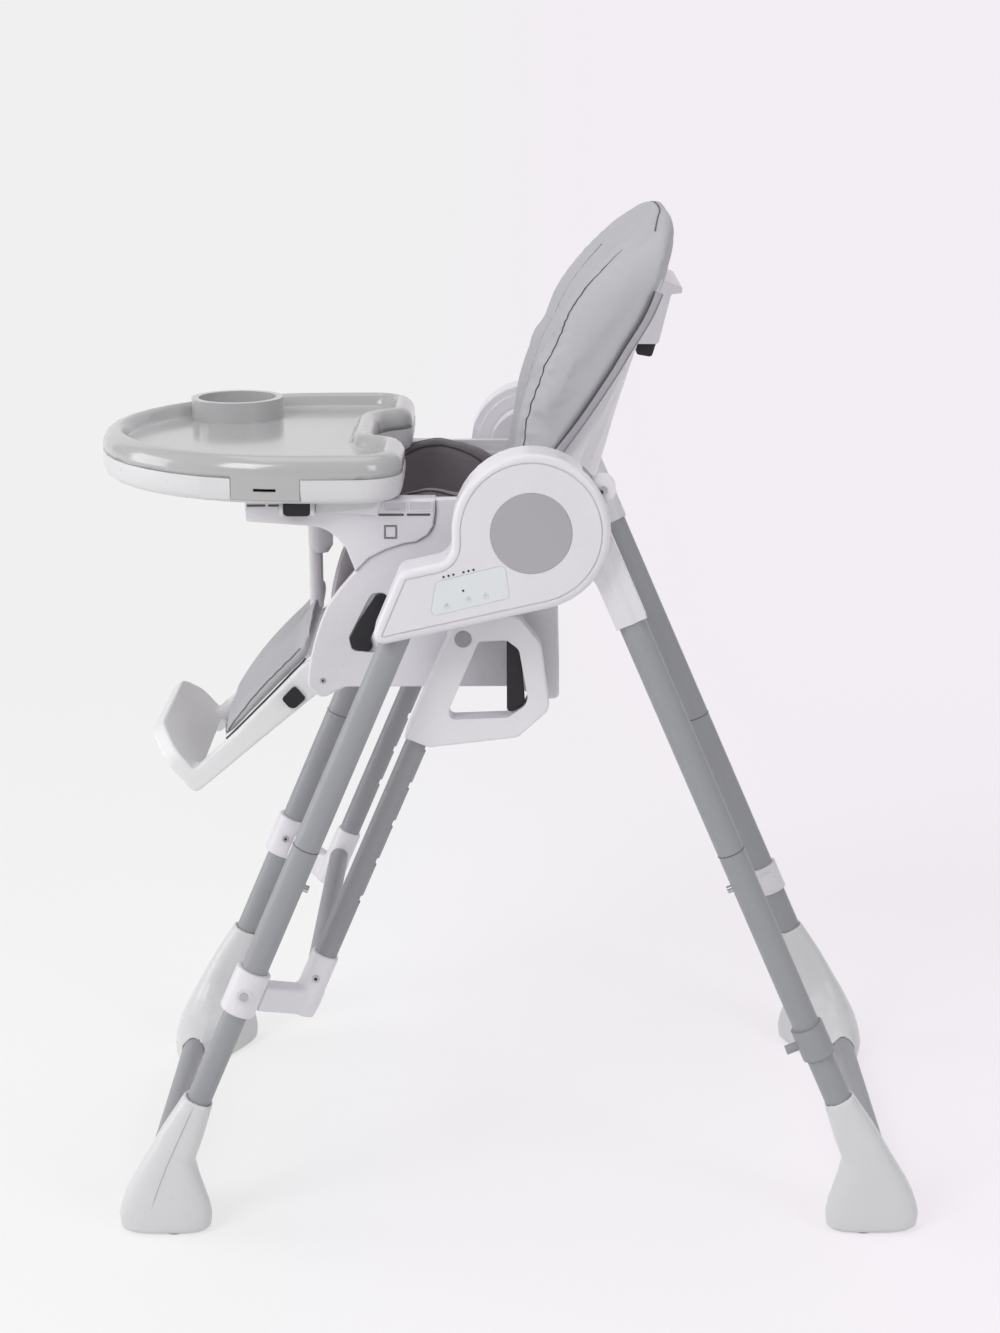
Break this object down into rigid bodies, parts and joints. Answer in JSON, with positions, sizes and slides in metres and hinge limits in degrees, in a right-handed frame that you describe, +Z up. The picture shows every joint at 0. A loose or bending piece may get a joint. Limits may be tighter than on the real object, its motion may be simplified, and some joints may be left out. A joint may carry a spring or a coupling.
{
  "type": "baby high chair",
  "caption": "Folding high chair on four splayed tube legs, with a padded reclining seat that slides in height and swings, a leg rest and a removable tray.",
  "frame": {"origin": "on the floor, below the centre of the bounding box, midway between the left and right legs", "axes": "+Z up, -X to the front, where the seated child faces, +Y to the child's right"},
  "size_m": [0.8743, 0.6006, 1.071],
  "materials": {
    "white_plastic": "smooth, slightly glossy",
    "grey_plastic": "smooth, glossy",
    "panel_film": "smooth",
    "black_plastic": "fine texture",
    "grey_tube": "satin powder coat",
    "screws": "bright",
    "pads": "matt",
    "seat_fabric": "woven",
    "grey_fabric": "coated cloth"
  },
  "bodies": {
    "frame": {"left_front_upper_tube": "grey_tube", "right_front_upper_tube": "grey_tube", "left_front_middle_tube": "grey_tube", "right_front_middle_tube": "grey_tube", "left_front_lower_tube": "grey_tube", "right_front_lower_tube": "grey_tube", "left_front_foot": "white_plastic", "right_front_foot": "white_plastic", "front_foot_pads": "pads", "front_cross_tube": "grey_tube", "left_leg_collar": "white_plastic", "right_leg_collar": "white_plastic", "left_hub_shell": "white_plastic", "right_hub_shell": "white_plastic", "hub_covers": "white_plastic", "hub_discs": "grey_plastic", "control_panel": "panel_film", "swing_drive": "screws", "front_fasteners": "screws"},
    "rear_legs": {"left_rear_socket": "white_plastic", "right_rear_socket": "white_plastic", "left_rear_upper_tube": "grey_tube", "right_rear_upper_tube": "grey_tube", "left_rear_lower_tube": "grey_tube", "right_rear_lower_tube": "grey_tube", "left_rear_foot": "white_plastic", "right_rear_foot": "white_plastic", "rear_foot_pads": "pads", "rear_cross_tube": "grey_tube", "rear_fasteners": "screws", "tray_hooks": "white_plastic"},
    "swing_frame": {"left_swing_hanger": "white_plastic", "right_swing_hanger": "white_plastic", "left_guide_tube": "grey_tube", "right_guide_tube": "grey_tube", "left_swing_elbow": "white_plastic", "right_swing_elbow": "white_plastic", "swing_cross_tube": "grey_tube"},
    "seat": {"left_height_slider": "white_plastic", "right_height_slider": "white_plastic", "slider_caps": "grey_plastic", "seat_shell": "white_plastic", "seat_grips": "black_plastic", "left_armrest": "white_plastic", "right_armrest": "white_plastic", "seat_pad": "seat_fabric"},
    "left_trigger": {"left_height_trigger": "black_plastic"},
    "right_trigger": {"right_height_trigger": "black_plastic"},
    "backrest": {"back_shell": "white_plastic", "back_pad": "grey_fabric"},
    "recline_handle": {"recline_lever": "black_plastic"},
    "leg_rest": {"leg_rest_frame": "white_plastic", "leg_rest_pad": "grey_fabric"},
    "left_rest_button": {"left_leg_button": "black_plastic"},
    "right_rest_button": {"right_leg_button": "black_plastic"},
    "tray": {"tray_base": "white_plastic", "crotch_post": "white_plastic"},
    "upper_tray": {"top_tray": "grey_plastic"},
    "left_tray_catch": {"left_tray_lever": "black_plastic"},
    "right_tray_catch": {"right_tray_lever": "black_plastic"}
  },
  "joints": [
    {"name": "rear_fold", "type": "hinge", "parent": "frame", "child": "rear_legs", "pos_m": [0.028, 0, 0.764], "axis": [0, 1, 0], "range_deg": [0, 36]},
    {"name": "swing", "type": "hinge", "parent": "frame", "child": "swing_frame", "pos_m": [0.028, 0, 0.764], "axis": [0, -1, 0], "range_deg": [0, 25]},
    {"name": "seat_height", "type": "slide", "parent": "swing_frame", "child": "seat", "axis": [-0.3939, 0, -0.9191], "range_m": [0, 0.225]},
    {"name": "left_trigger_squeeze", "type": "slide", "parent": "seat", "child": "left_trigger", "axis": [1, 0, 0], "range_m": [0, 0.006], "stiffness_N_per_m": 1500},
    {"name": "right_trigger_squeeze", "type": "slide", "parent": "seat", "child": "right_trigger", "axis": [1, 0, 0], "range_m": [0, 0.006], "stiffness_N_per_m": 1500},
    {"name": "back_recline", "type": "hinge", "parent": "seat", "child": "backrest", "pos_m": [0.038, 0, 0.66], "axis": [0, 1, 0], "range_deg": [0, 35]},
    {"name": "recline_squeeze", "type": "slide", "parent": "backrest", "child": "recline_handle", "axis": [0, 0, 1], "range_m": [0, 0.006], "stiffness_N_per_m": 1500, "springref_m": -0.001},
    {"name": "leg_rest_tilt", "type": "hinge", "parent": "seat", "child": "leg_rest", "pos_m": [-0.189, 0, 0.5855], "axis": [0, 1, 0], "range_deg": [-15, 20]},
    {"name": "left_rest_press", "type": "slide", "parent": "leg_rest", "child": "left_rest_button", "axis": [0, 1, 0], "range_m": [0, 0.003], "stiffness_N_per_m": 600},
    {"name": "right_rest_press", "type": "slide", "parent": "leg_rest", "child": "right_rest_button", "axis": [0, -1, 0], "range_m": [0, 0.003], "stiffness_N_per_m": 600},
    {"name": "tray_slide", "type": "slide", "parent": "seat", "child": "tray", "axis": [-1, 0, 0], "range_m": [0, 0.09]},
    {"name": "upper_tray_lift", "type": "slide", "parent": "tray", "child": "upper_tray", "axis": [0, 0, 1], "range_m": [0, 0.08]},
    {"name": "left_tray_release", "type": "slide", "parent": "tray", "child": "left_tray_catch", "axis": [0, -1, 0], "range_m": [0, 0.004], "stiffness_N_per_m": 900},
    {"name": "right_tray_release", "type": "slide", "parent": "tray", "child": "right_tray_catch", "axis": [0, 1, 0], "range_m": [0, 0.004], "stiffness_N_per_m": 900}
  ]
}
